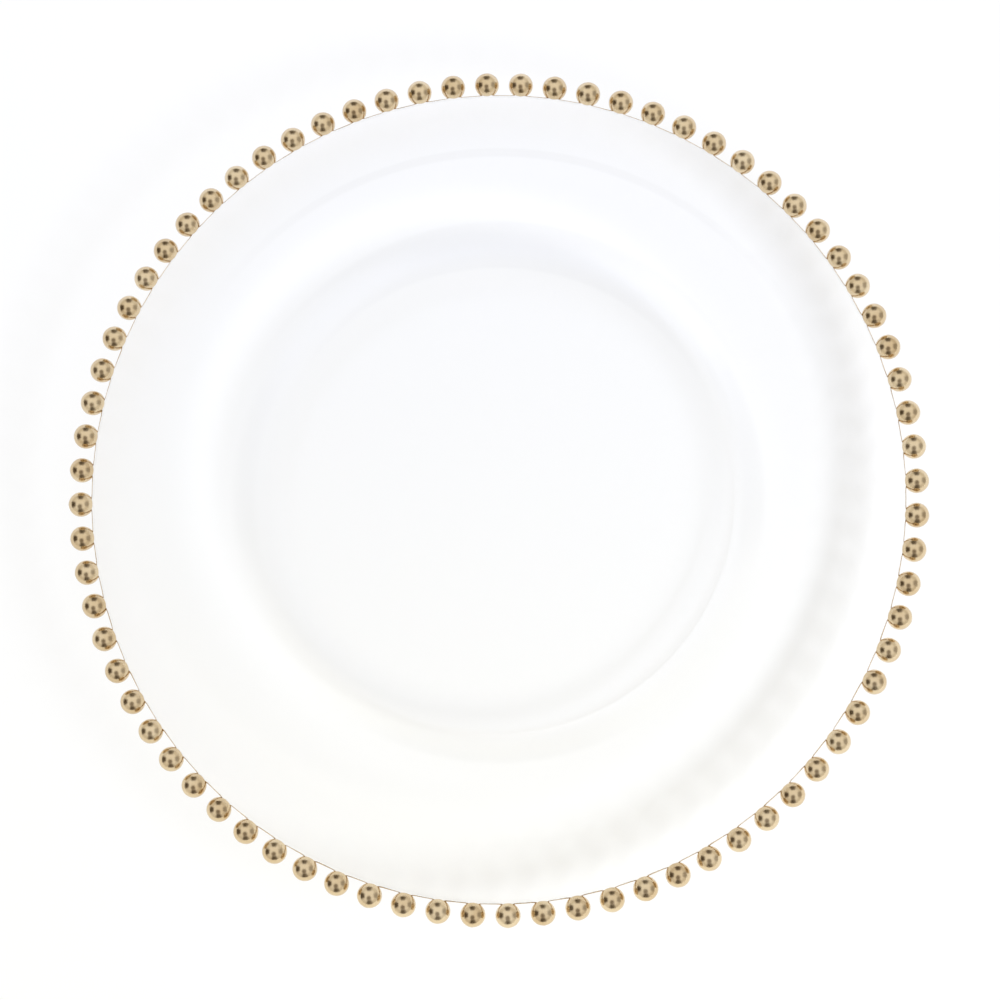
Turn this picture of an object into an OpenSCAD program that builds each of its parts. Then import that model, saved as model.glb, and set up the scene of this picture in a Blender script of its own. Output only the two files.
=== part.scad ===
// A charger plate: clear pressed glass with a shallow well, a foot ring and a broad flange,
// whose rim carries a ring of gilded beads. The plate is turned about +Z, and its origin is
// the centre of the plane that the foot ring stands on.

/* [Well and foot ring] */
// Radius of the flat floor of the well
well_r = 88; // [70:1:110]
// Thickness of the glass under the well
floor_t = 4; // [3:0.1:6]
// Height of the foot ring below the floor
foot_h = 1.5; // [0.8:0.1:3]
// Width of the foot ring
foot_w = 6; // [4:0.5:9]
// Rounding of the foot ring's lower edges
foot_round = 0.8; // [0.2:0.1:1.5]

/* [Shoulder and flange] */
// Width of the shoulder that climbs out of the well
shoulder_w = 20; // [14:1:30]
// Climb of the shoulder
shoulder_h = 7; // [4:0.5:14]
// Width of the flange inside its soft step
inner_flange_w = 23; // [12:1:40]
// Climb of the flange inside its soft step
inner_flange_h = 0.8; // [0.2:0.1:3]
// Width of the soft step
step_w = 5; // [3:0.5:8]
// Climb of the soft step
step_h = 0.9; // [0.4:0.1:2]
// Width of the flange outside its soft step, to the edge of the rim
outer_flange_w = 20; // [12:0.5:40]
// Climb of the flange outside its soft step
outer_flange_h = 1.6; // [0.2:0.1:5]
// Thickness of the glass in the flange and at the rounded rim
flange_t = 3.4; // [3.2:0.1:5]

/* [Beads] */
// Diameter of a gilded bead
bead_d = 9.6; // [7:0.1:11]
// Distance from one bead to the next along the ring
bead_pitch = 13.24; // [12:0.02:20]
// How far a bead is sunk into the edge of the rim
bead_seat = 0.6; // [0.5:0.05:0.9]

/* [Gilding] */
// Thickness of the gold on the beads and the rim
gilding_t = 0.2; // [0.1:0.05:0.4]
// Height of the gold line on the rim between two beads
rim_line_h = 2; // [1:0.1:2.6]

/* [Hidden] */

// Fineness of the plate's rounds, of the beads, of the climbs in the section and of its corners
$fn = 144;
bead_fn = 48;
climb_steps = 8;
corner_steps = 4;

// The gold stops this far short of whatever it runs up to
gilding_gap = 0.05;

// Radii of the section, from the well outwards
shoulder_r = well_r + shoulder_w;
step_in_r = shoulder_r + inner_flange_w;
step_out_r = step_in_r + step_w;
rim_r = step_out_r + outer_flange_w;

// Heights of the section's upper side
floor_z = foot_h + floor_t;
flange_z = floor_z + shoulder_h;
step_in_z = flange_z + inner_flange_h;
step_out_z = step_in_z + step_h;
rim_z = step_out_z + outer_flange_h;

// The foot ring stands under the edge of the well
foot_in_r = well_r - foot_w / 2;
foot_out_r = foot_in_r + foot_w;
foot_fillet = min(foot_round, foot_h, foot_w / 2);

// The rounded rim is a half circle about this point, and the beads are level with it
rim_edge_r = flange_t / 2;
rim_mid_r = rim_r - rim_edge_r;
rim_mid_z = rim_z - rim_edge_r;

// The ring of beads, each a ball of glass inside a skin of gold
bead_r = bead_d / 2;
core_r = bead_r - gilding_t;
bead_ring_r = rim_r - bead_seat + bead_r;
bead_count = round(2 * PI * bead_ring_r / bead_pitch);

// The skin is open where the ball meets the rim, as wide as the rim's edge cuts it
skin_open_r = sqrt(pow(bead_r, 2) - pow(bead_r - bead_seat, 2)) + gilding_gap;

// A climb of height h from the point p, over the width w, that is level at both ends
function soft_climb(p, w, h) = [
    for (i = [0:climb_steps])
        p + [w * i / climb_steps, h * (1 - cos(180 * i / climb_steps)) / 2]
];

// A quarter circle of radius r about the point c, from the angle a to the angle b
function round_corner(c, r, a, b) = [
    for (i = [0:corner_steps])
        let (turn = a + (b - a) * i / corner_steps)
        c + r * [cos(turn), sin(turn)]
];

function backwards(points) = [for (i = [len(points) - 1:-1:0]) points[i]];

// Half of the plate's section, as far as the middle of its rounded rim
module plate_section() {
    upper_side = concat(
        [[0, floor_z]],
        soft_climb([well_r, floor_z], shoulder_w, shoulder_h),
        soft_climb([step_in_r, step_in_z], step_w, step_h),
        [[rim_mid_r, rim_z]]
    );
    flange_below = soft_climb([step_in_r, step_in_z - flange_t], step_w, step_h);
    shoulder_below = soft_climb([foot_out_r, foot_h], shoulder_r - foot_out_r,
        flange_z - flange_t - foot_h);
    foot_below = concat(
        round_corner([foot_out_r - foot_fillet, foot_fillet], foot_fillet, 0, -90),
        round_corner([foot_in_r + foot_fillet, foot_fillet], foot_fillet, -90, -180)
    );
    polygon(concat(
        upper_side,
        [[rim_mid_r, rim_z - flange_t]],
        backwards(flange_below),
        backwards(shoulder_below),
        foot_below,
        [[foot_in_r, foot_h], [0, foot_h]]
    ));
}

// The glass without its beads: floor, foot ring, shoulder, flange and rounded rim
module plate_body() {
    rotate_extrude() {
        plate_section();
        translate([rim_mid_r, rim_mid_z])
            circle(r = rim_edge_r);
    }
}

// Puts its children at each bead's place, with +Z pointing away from the plate's axis
module at_each_bead() {
    for (i = [0:bead_count - 1])
        rotate([0, 0, 360 * i / bead_count])
            translate([bead_ring_r, 0, rim_mid_z])
                rotate([0, 90, 0])
                    children();
}

// Half the outline of a ball of radius r, right of its axis
module half_round(r) {
    intersection() {
        circle(r = r, $fn = bead_fn);
        translate([0, -r])
            square([r, 2 * r]);
    }
}

// The gold round one bead, open towards the rim
module bead_skin() {
    rotate_extrude($fn = bead_fn)
        difference() {
            half_round(bead_r);
            half_round(core_r);
            translate([0, -bead_r])
                square([skin_open_r, bead_r]);
        }
}

// The pressed glass blank, with the glass ball of every bead
module glass_plate() {
    color("aliceblue", 0.5)
        union() {
            plate_body();
            at_each_bead() sphere(r = core_r, $fn = bead_fn);
        }
}

// The gold skins of all beads
module bead_gilding() {
    color("darkkhaki")
        at_each_bead() bead_skin();
}

// The band of gold that follows the rounded rim
module rim_line_section() {
    translate([rim_mid_r, rim_mid_z])
        intersection() {
            difference() {
                circle(r = rim_edge_r + gilding_t, $fn = bead_fn);
                circle(r = rim_edge_r, $fn = bead_fn);
            }
            translate([0, -rim_line_h / 2])
                square([flange_t, rim_line_h]);
        }
}

// The gold line round the rim, from bead to bead
module rim_gilding() {
    line_r = rim_r + gilding_t;
    bead_half_w = sqrt(pow(bead_r, 2) - pow(bead_ring_r - line_r, 2));
    stop_angle = asin((bead_half_w + gilding_gap) / line_r);
    bead_step = 360 / bead_count;
    color("darkgoldenrod")
        for (i = [0:bead_count - 1])
            rotate([0, 0, bead_step * i + stop_angle])
                rotate_extrude(angle = bead_step - 2 * stop_angle)
                    rim_line_section();
}

glass_plate();
bead_gilding();
rim_gilding();
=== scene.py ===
# %% [markdown]
# # A glass charger plate with a gilded beaded rim
# A charger is the broad plate that stays on the table under the dinner plate. This one is
# pressed from clear glass in one shot: a flat well on a low foot ring, a soft shoulder, a broad
# flange with a shallow step, and a ring of glass beads on the rim. The beads are then plated
# with pale gold, and a fine gold line runs round the rim between them. The construction is
# loaded first as a fixed frame, and every surface below is worked out around it, in metres.

# %% Load the construction
import math

import bpy
import numpy as np
from mathutils import Matrix, Vector


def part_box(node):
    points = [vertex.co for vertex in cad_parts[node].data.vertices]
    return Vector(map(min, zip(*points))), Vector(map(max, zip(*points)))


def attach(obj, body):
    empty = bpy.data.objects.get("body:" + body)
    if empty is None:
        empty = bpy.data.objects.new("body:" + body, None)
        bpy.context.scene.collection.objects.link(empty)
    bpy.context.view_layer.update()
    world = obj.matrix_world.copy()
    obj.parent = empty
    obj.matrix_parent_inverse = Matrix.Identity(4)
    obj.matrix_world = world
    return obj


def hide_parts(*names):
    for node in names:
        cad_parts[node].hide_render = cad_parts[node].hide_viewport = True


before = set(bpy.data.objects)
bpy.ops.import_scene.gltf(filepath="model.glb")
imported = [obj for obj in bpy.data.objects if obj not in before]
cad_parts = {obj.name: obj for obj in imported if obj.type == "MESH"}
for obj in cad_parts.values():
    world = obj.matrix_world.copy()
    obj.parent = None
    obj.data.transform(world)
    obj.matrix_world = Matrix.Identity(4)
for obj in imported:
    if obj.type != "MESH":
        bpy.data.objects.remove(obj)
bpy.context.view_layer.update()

print("nodes:", sorted(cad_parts))

# %% [markdown]
# ## The measures that everything follows
# The bead ring is measured on the loaded frame, so the looks can't drift away from the
# construction. The section's own sizes are the plate's real ones: they could be read off the
# loaded mesh too, but its corners are few, and a named size is easier to follow.

# %% Measures
mm = 0.001

bead_r = 4.8 * mm
gilded_low, gilded_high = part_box("bead_gilding")
bead_ring_r = gilded_high.x - bead_r
bead_mid_z = (gilded_low.z + gilded_high.z) / 2
bead_pitch = 13.24 * mm
bead_count = round(2 * math.pi * bead_ring_r / bead_pitch)
bead_seat = 0.6 * mm
rim_r = bead_ring_r - bead_r + bead_seat
print("beads:", bead_count, "on a ring of radius", round(bead_ring_r / mm, 2), "mm")

well_r = 88 * mm
shoulder_w = 20 * mm
inner_flange_w = 23 * mm
step_w = 5 * mm
foot_w = 6 * mm
foot_round = 0.8 * mm

foot_h = 1.5 * mm
floor_t = 4 * mm
flange_t = 3.4 * mm
shoulder_h = 7 * mm
inner_flange_h = 0.8 * mm
step_h = 0.9 * mm
gilding_t = 0.2 * mm
rim_line_h = 2 * mm

# %% [markdown]
# ## The camera
# The photograph looks down on the plate from almost straight above, a little from below its
# middle. Seventy-six evenly spaced beads are as good as a calibration target: a pinhole camera
# was fitted to the middles of the beads, and they fall within a pixel of it. The fit gives the
# lens, three small turns, and how far off the plate stands, counted in radii of the bead ring.

# %% Camera
picture_px = 1000
focal_px = 2641.9
sensor_mm = 36.0
tilt_x, tilt_y, roll = math.radians(-6.767), math.radians(-1.566), math.radians(1.452)
plate_from_camera = Vector((-0.00652, 0.01759, -6.3204)) * bead_ring_r

camera_data = bpy.data.cameras.new("camera")
camera_data.sensor_width = sensor_mm
camera_data.lens = focal_px / picture_px * sensor_mm
camera = bpy.data.objects.new("camera", camera_data)
bpy.context.scene.collection.objects.link(camera)
to_camera = (
    Matrix.Rotation(tilt_x, 3, "X") @ Matrix.Rotation(tilt_y, 3, "Y") @ Matrix.Rotation(roll, 3, "Z")
)
from_camera = to_camera.transposed()
camera_place = from_camera @ -plate_from_camera + Vector((0, 0, bead_mid_z))
camera.matrix_world = Matrix.Translation(camera_place) @ from_camera.to_4x4()
bpy.context.scene.camera = camera
print("camera at", tuple(round(v, 4) for v in camera_place), "lens", round(camera_data.lens, 2), "mm")

# %% [markdown]
# ## How a mesh is put together
# Every piece here is a grid of points worked out by a formula: one direction of the grid runs
# along a profile, the other round an axis. Numpy works out all the points at once, and the
# mesh takes them in one go. A ring of points closes on itself, and where the profile meets the
# axis a single point closes the pole with a fan.

# %% Mesh helpers
def mesh_piece(name, points, faces, smooth=True):
    """An object from an array of points and a list of faces, at the origin."""
    mesh = bpy.data.meshes.new(name)
    mesh.from_pydata(points.reshape(-1, 3).tolist(), [], faces)
    mesh.polygons.foreach_set("use_smooth", [smooth] * len(mesh.polygons))
    mesh.update()
    piece = bpy.data.objects.new(name, mesh)
    bpy.context.scene.collection.objects.link(piece)
    print(name, "-", len(mesh.vertices), "points,", len(mesh.polygons), "faces")
    return piece


def ring_faces(rows, columns):
    """Quads of a grid whose columns close into rings: row i joins row i + 1, column j joins the
    next one, and the last column joins the first."""
    i, j = np.meshgrid(np.arange(rows - 1), np.arange(columns), indexing="ij")
    k = (j + 1) % columns
    this_row = i * columns
    next_row = this_row + columns
    quads = np.stack([this_row + j, next_row + j, next_row + k, this_row + k], -1)
    return quads.reshape(-1, 4)


def fan_faces(pole, first, columns, outwards):
    """Triangles from a pole to the ring of points that starts at the index first."""
    j = np.arange(columns)
    k = (j + 1) % columns
    pole_column = np.full(columns, pole)
    ring = [first + j, first + k] if outwards else [first + k, first + j]
    return np.stack([pole_column, *ring], -1)


# %% [markdown]
# ## The curves that a section is drawn with
# Pressed glass has no sharp corners: the mould's edges are eased and the flame polish softens
# them further. So each climb in the section is half a cosine wave, level at both ends, and the
# rim is a half circle. Straight stretches get points as well, because the surface is rippled
# later and each ripple needs points to bend.

# %% Curves of a section
def climb(start, end, steps):
    """Half a cosine wave from start to end: the height follows (1 - cos(pi t)) / 2 as t runs
    from 0 to 1 over the width."""
    t = np.linspace(0, 1, steps + 1)
    rise = (1 - np.cos(np.pi * t)) / 2
    return np.stack([start[0] + (end[0] - start[0]) * t, start[1] + (end[1] - start[1]) * rise], -1)


def stretch(start, end, steps):
    """Even points on a straight line from start to end."""
    t = np.linspace(0, 1, steps + 1)[:, None]
    return np.asarray(start) * (1 - t) + np.asarray(end) * t


def arc(centre, radius, start_deg, end_deg, steps):
    """Points of a circle about the centre, from one angle to another."""
    turn = np.radians(np.linspace(start_deg, end_deg, steps + 1))
    return np.asarray(centre) + radius * np.stack([np.cos(turn), np.sin(turn)], -1)


# %% [markdown]
# ## Where the section turns
# Widths and climbs are added up from the well outwards, as one would mark them on the section's
# drawing. The rim ends where the beads are set into it, so its height comes from the beads.

# %% Radii and heights of the section
floor_z = foot_h + floor_t
flange_z = floor_z + shoulder_h
step_in_z = flange_z + inner_flange_h
step_out_z = step_in_z + step_h
shoulder_r = well_r + shoulder_w
step_in_r = shoulder_r + inner_flange_w
step_out_r = step_in_r + step_w
rim_edge_r = flange_t / 2
rim_mid_r = rim_r - rim_edge_r
rim_z = bead_mid_z + rim_edge_r
foot_in_r = well_r - foot_w / 2
foot_out_r = foot_in_r + foot_w
foot_in_ramp_w = 12 * mm
foot_out_ramp_w = 7 * mm
print("rim at", round(rim_r / mm, 2), "mm, its top at", round(rim_z / mm, 2), "mm")

# %% [markdown]
# ## The section of the glass
# The section runs from the middle of the well outwards over the upper side, round the rim and
# back along the underside. The foot swells out of the underside by half cosine waves too,
# without the inside corners that would catch a dark ring of trapped light. The section stops
# short of the axis on both sides, and a fan of faces closes each end later.

# %% Section of the glass
pole_r = 2 * mm
floor_steps, shoulder_steps, flange_steps, step_steps, rim_steps = 12, 20, 6, 8, 16

upper_side = [
    stretch((pole_r, floor_z), (well_r, floor_z), floor_steps),
    climb((well_r, floor_z), (shoulder_r, flange_z), shoulder_steps),
    stretch((shoulder_r, flange_z), (step_in_r, step_in_z), flange_steps),
    climb((step_in_r, step_in_z), (step_out_r, step_out_z), step_steps),
    stretch((step_out_r, step_out_z), (rim_mid_r, rim_z), flange_steps),
]
rim_round = [arc((rim_mid_r, bead_mid_z), rim_edge_r, 90, -90, rim_steps)]


def underside(radius):
    """Height of the underside inside the flange. It is level under the well, climbs by half a
    cosine wave under the shoulder, and fades to nothing over the foot, by half a cosine wave on
    each side of the foot's flat ring."""
    t = np.clip((radius - foot_out_r) / (shoulder_r - foot_out_r), 0, 1)
    free = foot_h + (flange_z - flange_t - foot_h) * (1 - np.cos(np.pi * t)) / 2
    inside = np.clip((foot_in_r + foot_round - radius) / foot_in_ramp_w, 0, 1)
    outside = np.clip((radius - foot_out_r + foot_round) / foot_out_ramp_w, 0, 1)
    fade = (1 - np.cos(np.pi * np.maximum(inside, outside))) / 2
    return free * fade


climb_points, ramp_points, middle_points = 26, 16, 10
middle_gap = 4 * mm
below = np.concatenate([
    np.linspace(shoulder_r, foot_out_r - foot_round, climb_points),
    np.linspace(foot_in_r + foot_round, foot_in_r - foot_in_ramp_w, ramp_points),
    np.linspace(foot_in_r - foot_in_ramp_w - middle_gap, pole_r, middle_points),
])
lower_side = [
    stretch((rim_mid_r, rim_z - flange_t), (step_out_r, step_out_z - flange_t), flange_steps),
    climb((step_in_r, step_in_z - flange_t), (step_out_r, step_out_z - flange_t), step_steps)[::-1],
    stretch((step_in_r, step_in_z - flange_t), (shoulder_r, flange_z - flange_t), flange_steps),
    np.stack([below, underside(below)], -1),
]

same_point = 0.001 * mm
section = np.concatenate(upper_side + rim_round + lower_side)
upper = np.arange(len(section)) < sum(map(len, upper_side))
apart = np.linalg.norm(np.diff(section, axis=0), axis=1) > same_point
apart = np.concatenate([[True], apart])
section, upper = section[apart], upper[apart]
print("section:", len(section), "points,", upper.sum(), "of them on the upper side")

# %% [markdown]
# ## How the glass gathers light
# A bent sheet of glass is a weak lens. Where it curves one way it gathers the light that falls
# through it, where it curves the other way it spreads it, and on the table under a charger that
# draws pale and dark rings. The array called gather keeps, for every point of the section, how
# much light it sends on: a half is plain glass, less is a dark ring and more is a pale one. The
# dark rings are kept on the upper side and the pale ones on the underside, so that a ray meets
# each of them once.

# %% Gathered light
plain_glass = 0.5

# Each ring has the radius of its middle, its width, and how far it moves the light sent on
dark_rings = (
    (well_r + 0.5 * mm, 2 * mm, 0.14),
    (well_r + 5 * mm, 2.5 * mm, 0.28),
    (step_in_r, 2.5 * mm, 0.1),
)
pale_rings = (
    (shoulder_r - 4 * mm, 3 * mm, 0.28),
    (step_out_r, 3 * mm, 0.1),
)


def sum_of_rings(rings):
    """Bell curves of the section's distance from the middle of each ring, added up: the sum of
    strength exp(-(distance / width)^2)."""
    middle, width, strength = np.array(rings).T[:, :, None]
    return (strength * np.exp(-(((section[:, 0] - middle) / width) ** 2))).sum(axis=0)


gather = plain_glass + np.where(upper, -sum_of_rings(dark_rings), sum_of_rings(pale_rings))
print("light sent on runs from", round(gather.min(), 2), "to", round(gather.max(), 2))

# %% [markdown]
# ## The glass plate
# Turning the section about the axis makes the plate. Two things keep it from looking like a
# perfect lathe job. Pressed glass keeps a faint ripple from the mould, a few hundredths of a
# millimetre high, which is what makes its reflections swim. And the glass swells a little where
# each bead grows out of the rim. Both are added to the grid before it becomes a mesh. The ripple
# spares the foot, which has to stand flat, and the rim, which carries the beads.

# %% Ripple and necks
bead_step = 2 * math.pi / bead_count
neck_w = 1.9 * mm
neck_h = 0.9 * mm


def neck(turn):
    """How far the rim swells towards the nearest bead: a bell curve of the distance to it along
    the rim, h exp(-(distance / w)^2)."""
    to_bead = ((turn + bead_step / 2) % bead_step - bead_step / 2) * rim_r
    return neck_h * np.exp(-((to_bead / neck_w) ** 2))


def ripple(radius, turn):
    """A slow swell over the disc: a few sine waves of the radius and of the turn, added up, with
    a height between about -1 and 1."""
    r = radius / mm
    around = np.sin(3 * turn + 0.05 * r) + 0.7 * np.sin(7 * turn - 0.09 * r + 1.3)
    along = np.sin(0.21 * r + 2 * np.sin(turn)) + 0.5 * np.sin(0.37 * r - 1.1 + np.cos(2 * turn))
    sum_of_heights = 1 + 0.7 + 1 + 0.5
    return (around + along) / sum_of_heights


print("one bead every", round(math.degrees(bead_step), 3), "degrees")

# %% Glass plate
turns = bead_count * 6
ripple_h = 0.025 * mm
calm_rim_w = 4 * mm


def turned_plate(name):
    """The section turned about the axis: the point at profile step i and turn a is
    (r cos a, r sin a, z). The rim's radius grows by the necks, the more the nearer the section
    is to its edge, and the height by the ripple."""
    turn = np.arange(turns) * 2 * math.pi / turns
    radius = section[:, 0][:, None] + 0 * turn
    height = section[:, 1][:, None] + 0 * turn
    edge = np.clip((radius - rim_mid_r) / rim_edge_r, 0, 1) ** 2
    radius = radius + edge * neck(turn)
    above_foot = np.clip((height - foot_h) / foot_h, 0, 1)
    inside_rim = np.clip((rim_r - radius) / calm_rim_w, 0, 1)
    height = height + ripple_h * ripple(radius, turn) * above_foot * inside_rim
    grid = np.stack([radius * np.cos(turn), radius * np.sin(turn), height], -1)
    rows = len(section)
    poles = np.array([[0, 0, floor_z], [0, 0, foot_h]])
    points = np.concatenate([grid.reshape(-1, 3), poles])
    faces = ring_faces(rows, turns).tolist()
    faces += fan_faces(rows * turns, 0, turns, True).tolist()
    faces += fan_faces(rows * turns + 1, (rows - 1) * turns, turns, False).tolist()
    piece = mesh_piece(name, points, faces)
    bends = piece.data.attributes.new("gather", "FLOAT", "POINT")
    at_poles = [plain_glass, plain_glass]
    bends.data.foreach_set("value", np.concatenate([np.repeat(gather, turns), at_poles]))
    return piece


plate = turned_plate("pressed_plate")
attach(plate, "root")
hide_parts("glass_plate")

# %% [markdown]
# ## The gilded beads
# Each bead is a little ball of pressed glass under gold, so it is a ball but not a perfect one:
# the mould leaves it a shade flat, and no two are quite the same size. One bead is a profile
# turned about the line that points away from the plate's axis. All seventy-six come from one
# array, each with its own small differences, and are turned to their places together.

# %% Gilded beads
bead_rings, bead_turns = 16, 26
size_spread = 0.012
dip_depth = 0.006
chance = np.random.default_rng(76)


def bead_ring(name):
    """Points of all beads at once. A point at the angle p from the bead's outer pole and the
    turn q about it is r (cos p, sin p cos q, sin p sin q), where r dips by a slow wave of p and q
    of the bead's own phase. The bead then moves out to the ring and turns to its place."""
    p = (np.arange(bead_rings) + 1) / (bead_rings + 1) * math.pi
    q = np.arange(bead_turns) * 2 * math.pi / bead_turns
    p, q = p[None, :, None], q[None, None, :]
    size = 1 - size_spread * chance.random((bead_count, 1, 1))
    phase = chance.random((bead_count, 1, 1)) * 2 * math.pi
    dip = dip_depth * (1 + np.sin(3 * p + phase) * np.sin(2 * q + phase))
    r = bead_r * size * (1 - dip)
    local = np.stack([r * np.cos(p) + 0 * q, r * np.sin(p) * np.cos(q), r * np.sin(p) * np.sin(q)], -1)
    local = local.reshape(bead_count, -1, 3)
    ends = bead_r * size[:, :, 0] * np.array([[1.0, 0, 0]])
    local = np.concatenate([local, ends[:, None, :], -ends[:, None, :]], axis=1)
    local[:, :, 0] += bead_ring_r
    a = (np.arange(bead_count) * bead_step)[:, None]
    x = local[:, :, 0] * np.cos(a) - local[:, :, 1] * np.sin(a)
    y = local[:, :, 0] * np.sin(a) + local[:, :, 1] * np.cos(a)
    points = np.stack([x, y, local[:, :, 2] + bead_mid_z], -1)
    one = bead_rings * bead_turns
    quads = ring_faces(bead_rings, bead_turns)
    tips = np.concatenate([
        fan_faces(one, 0, bead_turns, True),
        fan_faces(one + 1, one - bead_turns, bead_turns, False),
    ])
    shift = (np.arange(bead_count) * (one + 2))[:, None, None]
    faces = (quads + shift).reshape(-1, 4).tolist() + (tips + shift).reshape(-1, 3).tolist()
    return mesh_piece(name, points, faces)


beads = bead_ring("gilded_beads")
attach(beads, "root")
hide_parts("bead_gilding")

# %% [markdown]
# ## The gold line on the rim
# Between two beads the plating leaves a thin line on the edge of the rim. It follows the round
# edge of the glass, so it is a strip of a tube: the section of the edge, run along the rim from
# one bead to the next. A hand holds the brush, so the line's two borders wander a little.

# %% Gold line
line_along, line_across = 20, 8
line_stop_w = 1.9 * mm
waver_depth = 0.16
proud_share = 0.6


def rim_line(name):
    """Points of all strips at once. A strip's point at the angle b on the rim's round and the
    turn a is at radius rim_mid + e cos b and height mid + e sin b, where b spreads between
    borders that waver along the strip. One sheet has e a little over the rim's own radius and
    one a little under it, a gilding apart, and the two close each strip into a solid."""
    half_b = math.asin(rim_line_h / 2 / rim_edge_r)
    stop = line_stop_w / rim_r
    a = np.linspace(stop, bead_step - stop, line_along)
    a = (a[None, :] + (np.arange(bead_count) * bead_step)[:, None])[:, :, None]
    spread = np.linspace(-1, 1, line_across)[None, None, :]
    waver = 1 - waver_depth * (1 + np.sin(61 * a) * np.sin(23 * a + 0.7))
    b = half_b * spread * waver
    outer_e = rim_edge_r + proud_share * gilding_t
    sheets = []
    for e in (outer_e, outer_e - gilding_t):
        radius = rim_mid_r + e * np.cos(b) + neck(a) * np.cos(b) ** 2
        height = bead_mid_z + e * np.sin(b)
        sheets.append(np.stack([radius * np.cos(a), radius * np.sin(a), height], -1))
    outer_sheet, inner_sheet = sheets
    loop = np.concatenate([outer_sheet, inner_sheet[:, :, ::-1]], axis=2)
    columns = 2 * line_across
    sides = ring_faces(line_along, columns)[:, ::-1]
    first_end = np.arange(columns)
    last_end = first_end[::-1] + (line_along - 1) * columns
    shift = np.arange(bead_count)[:, None] * (line_along * columns)
    faces = (sides[None] + shift[:, :, None]).reshape(-1, 4).tolist()
    faces += (first_end + shift).tolist() + (last_end + shift).tolist()
    return mesh_piece(name, loop, faces)


gold_line = rim_line("rim_gold_line")
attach(gold_line, "root")
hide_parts("rim_gilding")

# %% [markdown]
# ## Node helpers
# Each material below is a small node tree. These helpers make a material with its Principled
# shader, add a node with its settings, and give a Map Range node the two ends of its result.

# %% Node helpers
def new_material(name):
    """A material with a Principled shader, its tree emptied of anything else."""
    material = bpy.data.materials.new(name)
    material.use_nodes = True
    tree = material.node_tree
    tree.nodes.clear()
    output = tree.nodes.new("ShaderNodeOutputMaterial")
    surface = tree.nodes.new("ShaderNodeBsdfPrincipled")
    tree.links.new(surface.outputs["BSDF"], output.inputs["Surface"])
    return material, tree, surface, output


def add(tree, kind, **settings):
    """A node of that kind. Settings that name an input set its value, and others set the node."""
    node = tree.nodes.new("ShaderNode" + kind)
    for key, value in settings.items():
        label = key.replace("_", " ")
        if label in node.inputs:
            node.inputs[label].default_value = value
        else:
            setattr(node, key, value)
    return node


def add_range(tree, low, high):
    """A Map Range node whose result runs from low to high as its value runs from 0 to 1."""
    node = add(tree, "MapRange")
    node.inputs["To Min"].default_value = low
    node.inputs["To Max"].default_value = high
    return node


# %% [markdown]
# ## Clear pressed glass
# Glass is a transmitting Principled shader with the index of soda-lime glass. What it shows is
# mostly its surroundings, bent a little, so the noise in it is faint: a slow bump for the mould,
# and a fine one in the roughness for the polish.

# %% Clear pressed glass
dullest_polish = 0.03
glass, tree, surface, output = new_material("clear_pressed_glass")
surface.inputs["Base Color"].default_value = (0.99, 0.995, 1.0, 1)
surface.inputs["Transmission Weight"].default_value = 1.0
surface.inputs["IOR"].default_value = 1.52
surface.inputs["Metallic"].default_value = 0.0

place = add(tree, "TexCoord")
mould_noise = add(tree, "TexNoise", Scale=28.0, Detail=2.0, Roughness=0.4)
fine_noise = add(tree, "TexNoise", Scale=240.0, Detail=3.0, Roughness=0.5)
polish = add_range(tree, 0.0, dullest_polish)
mould_bump = add(tree, "Bump", Strength=0.05, Distance=0.002)
tree.links.new(place.outputs["Object"], mould_noise.inputs["Vector"])
tree.links.new(place.outputs["Object"], fine_noise.inputs["Vector"])
tree.links.new(fine_noise.outputs["Fac"], polish.inputs["Value"])
tree.links.new(polish.outputs["Result"], surface.inputs["Roughness"])
tree.links.new(mould_noise.outputs["Fac"], mould_bump.inputs["Height"])
tree.links.new(mould_bump.outputs["Normal"], surface.inputs["Normal"])
plate.data.materials.append(glass)
print("glass of index", surface.inputs["IOR"].default_value, "on", plate.name)

# %% [markdown]
# ## Light through the glass
# Cycles doesn't follow light that is bent on its way to the table, so plain glass would throw a
# shadow as dark as a board's. A transparent shader for the lamps' shadow rays answers that. It
# lets most light through where the ray goes square through the sheet and less where it grazes:
# a colour ramp over Layer Weight's Facing says how much. The ramp's own two stops, at its ends,
# go once the new ones are in. The gather attribute then makes it more or less again, so that the
# shoulder, the step and the rim draw soft rings on the table. At each surface plain glass sends
# on 0.98 of the light. A pale ring sends on more than it gets, as a lens does at its focus.

# %% Light through the glass
least_sent, most_sent = 0.55, 1.41
clear = (0.985, 0.985, 0.985)
by_slant = (
    (0.10, (0.99, 0.99, 0.99)),
    (0.44, clear),
    (0.70, (0.94, 0.935, 0.93)),
    (0.92, (0.82, 0.80, 0.77)),
)

slant = add(tree, "LayerWeight", Blend=0.5)
through = add(tree, "ValToRGB")
stops = through.color_ramp.elements
for facing, colour in by_slant:
    stops.new(facing).color = (*colour, 1)
stops.remove(stops[0])
stops.remove(stops[-1])
bends = add(tree, "Attribute", attribute_name="gather")
sent_on = add_range(tree, least_sent, most_sent)
both = add(tree, "Mix", data_type="RGBA", blend_type="MULTIPLY")
both.inputs[0].default_value = 1.0
let_through = add(tree, "BsdfTransparent")
tree.links.new(slant.outputs["Facing"], through.inputs["Fac"])
tree.links.new(bends.outputs["Fac"], sent_on.inputs["Value"])
tree.links.new(through.outputs["Color"], both.inputs[6])
tree.links.new(sent_on.outputs["Result"], both.inputs[7])
tree.links.new(both.outputs[2], let_through.inputs["Color"])
print("ramp stops:", [round(stop.position, 2) for stop in stops])

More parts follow.
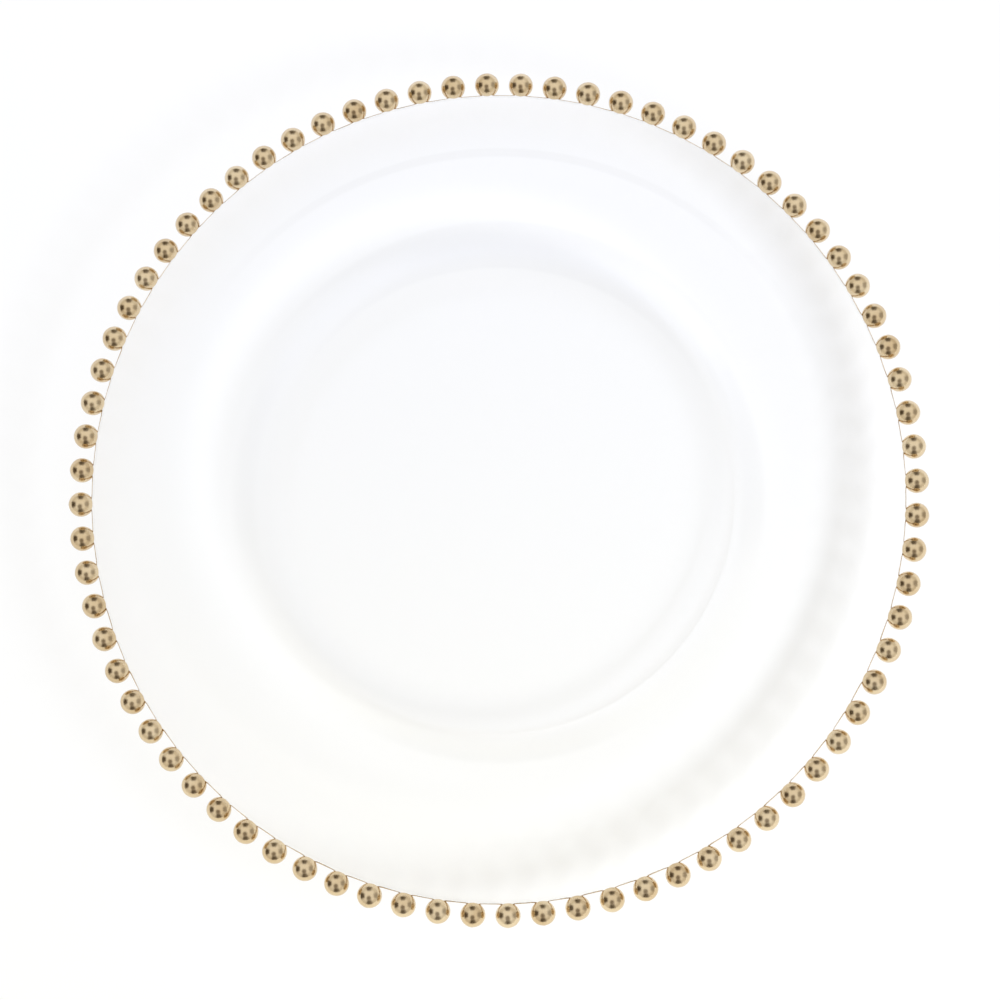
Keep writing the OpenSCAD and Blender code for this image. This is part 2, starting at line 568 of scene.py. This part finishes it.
# %% [markdown]
# ## Which ray meets which glass
# A Light Path node tells the rays apart. Shadow rays meet the transparent shader above. Rays
# that the table or the gold scatters pass straight through as well. Otherwise the table would be
# lit twice, once by the lamps' shadow rays and once by its own rays through the glass, and the
# gold would mirror the dark inside of the rim. Each kind of ray has its own Mix Shader in a
# chain, so that each can be tried by itself.

# %% Which ray meets which glass
rays = add(tree, "LightPath")
straight_through = add(tree, "BsdfTransparent", Color=(*clear, 1))
met = surface.outputs["BSDF"]
for kind_of_ray, instead in (
    ("Is Shadow Ray", let_through),
    ("Is Diffuse Ray", straight_through),
    ("Is Glossy Ray", straight_through),
):
    choice = add(tree, "MixShader")
    tree.links.new(rays.outputs[kind_of_ray], choice.inputs[0])
    tree.links.new(met, choice.inputs[1])
    tree.links.new(instead.outputs["BSDF"], choice.inputs[2])
    met = choice.outputs["Shader"]
tree.links.new(met, output.inputs["Surface"])
print("shaders in the glass:", len([node for node in tree.nodes if "Bsdf" in node.bl_idname]))

# %% [markdown]
# ## Hand-laid gold
# The plating is bright but not even: it is thinner and paler where hands have rubbed it, warmer
# where it pooled, and it carries a grain far finer than a bead. Both gold finishes need that, so
# it is one node group, which gives out a tone, a polish and a grain, and each material places
# it with its own scale and mixes its own colours.

# %% Hand-laid gold group
laid_gold = bpy.data.node_groups.new("hand_laid_gold", "ShaderNodeTree")
laid_gold.interface.new_socket("Patch Scale", in_out="INPUT", socket_type="NodeSocketFloat")
laid_gold.interface.new_socket("Grain Scale", in_out="INPUT", socket_type="NodeSocketFloat")
laid_gold.interface.new_socket("Tone", in_out="OUTPUT", socket_type="NodeSocketFloat")
laid_gold.interface.new_socket("Polish", in_out="OUTPUT", socket_type="NodeSocketFloat")
laid_gold.interface.new_socket("Grain", in_out="OUTPUT", socket_type="NodeSocketFloat")
given = laid_gold.nodes.new("NodeGroupInput")
result = laid_gold.nodes.new("NodeGroupOutput")
place = add(laid_gold, "TexCoord")
patches = add(laid_gold, "TexNoise", Detail=3.0, Roughness=0.55)
grain = add(laid_gold, "TexNoise", Detail=2.0, Roughness=0.6)
tone = add(laid_gold, "MapRange")
tone.inputs["From Min"].default_value = 0.3
tone.inputs["From Max"].default_value = 0.7
laid_gold.links.new(place.outputs["Object"], patches.inputs["Vector"])
laid_gold.links.new(place.outputs["Object"], grain.inputs["Vector"])
laid_gold.links.new(given.outputs["Patch Scale"], patches.inputs["Scale"])
laid_gold.links.new(given.outputs["Grain Scale"], grain.inputs["Scale"])
laid_gold.links.new(patches.outputs["Fac"], tone.inputs["Value"])
laid_gold.links.new(tone.outputs["Result"], result.inputs["Tone"])
laid_gold.links.new(patches.outputs["Fac"], result.inputs["Polish"])
laid_gold.links.new(grain.outputs["Fac"], result.inputs["Grain"])


def gold_material(name, pale, deep, smoothest, roughest, patch_scale, grain_scale, grain_depth):
    """Gold whose colour runs between a pale and a deep tone and whose roughness runs between two
    values, both by the group's patches, with the group's grain as a bump of that depth."""
    material, tree, surface, _ = new_material(name)
    surface.inputs["Metallic"].default_value = 1.0
    life = tree.nodes.new("ShaderNodeGroup")
    life.node_tree = laid_gold
    life.inputs["Patch Scale"].default_value = patch_scale
    life.inputs["Grain Scale"].default_value = grain_scale
    colours = add(tree, "Mix", data_type="RGBA")
    colours.inputs[6].default_value = (*deep, 1)
    colours.inputs[7].default_value = (*pale, 1)
    shine = add_range(tree, smoothest, roughest)
    bump = add(tree, "Bump", Strength=0.25, Distance=grain_depth)
    tree.links.new(life.outputs["Tone"], colours.inputs[0])
    tree.links.new(colours.outputs[2], surface.inputs["Base Color"])
    tree.links.new(life.outputs["Polish"], shine.inputs["Value"])
    tree.links.new(shine.outputs["Result"], surface.inputs["Roughness"])
    tree.links.new(life.outputs["Grain"], bump.inputs["Height"])
    tree.links.new(bump.outputs["Normal"], surface.inputs["Normal"])
    return material


beads.data.materials.append(gold_material(
    "champagne_gold", pale=(0.80, 0.66, 0.45), deep=(0.66, 0.50, 0.30),
    smoothest=0.13, roughest=0.28, patch_scale=90.0, grain_scale=1500.0, grain_depth=0.00005))
gold_line.data.materials.append(gold_material(
    "line_gold", pale=(0.74, 0.58, 0.38), deep=(0.56, 0.40, 0.22),
    smoothest=0.18, roughest=0.36, patch_scale=160.0, grain_scale=2400.0, grain_depth=0.00005))
print("materials:", [m.name for m in bpy.data.materials])

# %% [markdown]
# ## The table
# The picture's ground is pure white, and clear glass on white is only seen by what it does to
# the light. So the table is a mix of plain white and its lit paint. To the camera the white has
# the larger share, with enough of the lit paint left in to keep the shadows. Through the glass
# and in reflections the lit paint has it, because there the rings of light are the picture. The
# table lies a tenth of a millimetre under the foot: two faces in one plane would fight over
# which is in front.

# %% Table
table_half = 3.0
table_gap = 0.1 * mm
white_seen_straight = 0.8
white_seen_otherwise = 0.4
corners = np.array([[-1, -1], [1, -1], [1, 1], [-1, 1]], float)
table_points = np.column_stack([table_half * corners, np.full(4, -table_gap)])
table = mesh_piece("table", table_points, [[0, 1, 2, 3]], smooth=False)
table_paint, tree, surface, output = new_material("table_white")
surface.inputs["Base Color"].default_value = (0.9, 0.9, 0.9, 1)
surface.inputs["Roughness"].default_value = 0.9
rays = add(tree, "LightPath")
glow = add(tree, "Emission", Strength=1.0)
straight = add(tree, "Math", operation="MULTIPLY")
straight.inputs[1].default_value = white_seen_straight
bent = add(tree, "Math", operation="MAXIMUM")
bent_share = add(tree, "Math", operation="MULTIPLY")
bent_share.inputs[1].default_value = white_seen_otherwise
share = add(tree, "Math", operation="ADD")
blend = add(tree, "MixShader")
tree.links.new(rays.outputs["Is Camera Ray"], straight.inputs[0])
tree.links.new(rays.outputs["Is Glossy Ray"], bent.inputs[0])
tree.links.new(rays.outputs["Is Transmission Ray"], bent.inputs[1])
tree.links.new(bent.outputs[0], bent_share.inputs[0])
tree.links.new(straight.outputs[0], share.inputs[0])
tree.links.new(bent_share.outputs[0], share.inputs[1])
tree.links.new(share.outputs[0], blend.inputs[0])
tree.links.new(surface.outputs["BSDF"], blend.inputs[1])
tree.links.new(glow.outputs["Emission"], blend.inputs[2])
tree.links.new(blend.outputs["Shader"], output.inputs["Surface"])
table.data.materials.append(table_paint)

# %% [markdown]
# ## What the gold mirrors
# A polished bead shows the whole room, so it needs a room to show. The photograph's beads have
# four dark patches round a bright middle, as under a light tent whose four panels leave gaps at
# the corners, and the beads at the far side are darker in the middle, where they mirror the
# camera and whoever holds it. The world draws that tent from the ray's direction alone: smooth
# steps of its height give the walls and of its turn the gaps, and a soft round patch beside the
# zenith stands for the camera. Each smooth step below is a pair of values: where it is still
# nothing and where it is full. A ray's direction has the length one, so its Z is its height.

# %% Steps of the tent
world = bpy.data.worlds.new("studio")
bpy.context.scene.world = world
world.use_nodes = True
tree = world.node_tree
tree.nodes.clear()
towards = add(tree, "TexCoord")
part = add(tree, "SeparateXYZ")
tree.links.new(towards.outputs["Generated"], part.inputs[0])
x, y, z = (part.outputs[axis] for axis in "XYZ")


def calc(operation, a, b=0.0):
    """A Math node of the world's tree; a and b are sockets or plain numbers."""
    node = add(tree, "Math", operation=operation)
    for slot, value in enumerate((a, b)):
        if isinstance(value, (int, float)):
            node.inputs[slot].default_value = value
        else:
            tree.links.new(value, node.inputs[slot])
    return node.outputs[0]


def fade_between(value, nothing_at, full_at):
    """A smooth step from 0 to 1 between two values; the first may be the larger one."""
    node = add(tree, "MapRange", interpolation_type="SMOOTHSTEP")
    node.inputs["From Min"].default_value = nothing_at
    node.inputs["From Max"].default_value = full_at
    tree.links.new(value, node.inputs["Value"])
    return node.outputs["Result"]


wall_foot = (-0.05, 0.08)
wall_top = (0.66, 0.46)
wall = calc("MULTIPLY", fade_between(z, *wall_foot), fade_between(z, *wall_top))
print("the tent's walls come in over heights", wall_foot, "and go out over", wall_top)

# %% [markdown]
# ## The gaps between the panels
# A direction's X times its Y, over the square of its level part, is the same at every height: a
# half on a diagonal and nothing on an axis. The tent's corners stand on the axes, so one smooth
# step of it opens the four gaps there. They start a little over the table, end under the roof,
# and are fainter on the right, as in the photograph. The spot that stands for the camera is a
# smooth step of the distance from its middle. The number just over one keeps the division from
# failing straight up, where a direction has no level part.

# %% Gaps and camera
just_over_one = 1.0001
gap_side = (0.46, 0.24)
gap_foot = (0.0, 0.12)
gap_top = (0.84, 0.62)
gap_left_to_right = (2.4, -0.5)
level_part = calc("SUBTRACT", just_over_one, calc("MULTIPLY", z, z))
diagonal = calc("DIVIDE", calc("ABSOLUTE", calc("MULTIPLY", x, y)), level_part)
gap = calc("MULTIPLY", fade_between(diagonal, *gap_side), fade_between(z, *gap_foot))
gap = calc("MULTIPLY", gap, fade_between(z, *gap_top))
gap = calc("MULTIPLY", gap, fade_between(x, *gap_left_to_right))

spot_mid_x, spot_mid_y = -0.06, -0.38
spot_edge = (0.48, 0.20)
spot_foot = (0.2, 0.5)
spot_x = calc("SUBTRACT", x, spot_mid_x)
spot_y = calc("SUBTRACT", y, spot_mid_y)
spot_r2 = calc("ADD", calc("MULTIPLY", spot_x, spot_x), calc("MULTIPLY", spot_y, spot_y))
spot_r = calc("SQRT", spot_r2)
spot = calc("MULTIPLY", fade_between(spot_r, *spot_edge), fade_between(z, *spot_foot))
print("nodes for the walls, the gaps and the spot:", len(tree.nodes))

# %% [markdown]
# ## The world's colours
# The tent's colours are laid one over another, each by its own mask: white cloth, the greyer
# walls, the dark gaps and the spot. Only mirror rays meet the tent. Rays from the camera and
# through the glass meet plain white, and scattered rays a dim and even fill.

# %% World
fill_strength = 0.31
over = None
for mask, colour in (
    (wall, (0.80, 0.78, 0.74)),
    (gap, (0.09, 0.07, 0.05)),
    (spot, (0.28, 0.25, 0.22)),
):
    mix = add(tree, "Mix", data_type="RGBA")
    mix.inputs[6].default_value = (1.0, 0.99, 0.97, 1)
    mix.inputs[7].default_value = (*colour, 1)
    if over:
        tree.links.new(over, mix.inputs[6])
    tree.links.new(mask, mix.inputs[0])
    over = mix.outputs[2]

mirrored_sky = add(tree, "Background", Strength=1.0)
tree.links.new(over, mirrored_sky.inputs["Color"])
backdrop = add(tree, "Background", Strength=1.0)
backdrop.inputs["Color"].default_value = (1, 1, 1, 1)
fill = add(tree, "Background", Strength=fill_strength)
fill.inputs["Color"].default_value = (0.97, 0.98, 1.0, 1)

rays = add(tree, "LightPath")
world_output = tree.nodes.new("ShaderNodeOutputWorld")
seen = calc("MAXIMUM", rays.outputs["Is Camera Ray"], rays.outputs["Is Transmission Ray"])
mirror_or_fill = add(tree, "MixShader")
tree.links.new(rays.outputs["Is Glossy Ray"], mirror_or_fill.inputs[0])
tree.links.new(fill.outputs["Background"], mirror_or_fill.inputs[1])
tree.links.new(mirrored_sky.outputs["Background"], mirror_or_fill.inputs[2])
blend = add(tree, "MixShader")
tree.links.new(seen, blend.inputs[0])
tree.links.new(mirror_or_fill.outputs["Shader"], blend.inputs[1])
tree.links.new(backdrop.outputs["Background"], blend.inputs[2])
tree.links.new(blend.outputs["Shader"], world_output.inputs["Surface"])
print("world:", world.name, "with a fill of", fill_strength)

# %% [markdown]
# ## The lamps
# In the photograph the dark ring and the pale ring under the shoulder are moved up and to the
# left, by almost twice the height of the glass that draws them. That places the main lamp: low,
# in front and to the right, and far off, so that it lights both sides of the plate alike. Two
# broad fills stand close to the plate and tint it as a room with windows does, cool at the back
# and warm at the front. Light linking leaves the beads out of what may block these three. Their
# shadows come from a fourth lamp alone, a low strip at the right: a strip is wide, so the
# shadows of neighbouring beads melt together, and it is thin, so they keep a narrow crescent
# inside the rim.

# %% Lamps
def soft_lamp(name, place, width, height, power, colour):
    """An oblong area lamp at that place that faces the plate's middle, with its width level. It
    is out of sight of the camera and of reflections, which meet the tent's white instead."""
    data = bpy.data.lights.new(name, "AREA")
    data.shape = "RECTANGLE"
    data.size = width
    data.size_y = height
    data.energy = power
    data.color = colour
    lamp = bpy.data.objects.new(name, data)
    lamp.location = place
    lamp.rotation_euler = (-Vector(place)).to_track_quat("-Z", "Y").to_euler()
    lamp.visible_camera = False
    lamp.visible_glossy = False
    lamp.visible_transmission = False
    bpy.context.scene.collection.objects.link(lamp)
    return lamp


key = soft_lamp(
    "key_low_right", place=(1.39, -1.776, 1.20), width=0.5, height=0.5,
    power=45.5, colour=(0.98, 0.985, 1.0))
cool = soft_lamp(
    "cool_fill_back", place=(-0.09, 0.45, 0.28), width=0.7, height=0.7,
    power=2.35, colour=(0.64, 0.70, 1.0))
warm = soft_lamp(
    "warm_fill_front", place=(-0.10, -0.45, 0.28), width=0.7, height=0.7,
    power=1.3, colour=(1.0, 0.84, 0.15))
soft_lamp(
    "skimming_lamp", place=(1.12, -0.70, 0.61), width=0.80, height=0.10,
    power=15.5, colour=(0.86, 0.91, 1.0))

blockers = bpy.data.collections.new("glass_and_table")
blockers.objects.link(plate)
blockers.objects.link(table)
for lamp in (key, cool, warm):
    lamp.light_linking.blocker_collection = blockers

# %% [markdown]
# ## Colour management
# A plain view transform shows each colour as it was written.

# %% Finish
bpy.context.scene.view_settings.view_transform = "Standard"
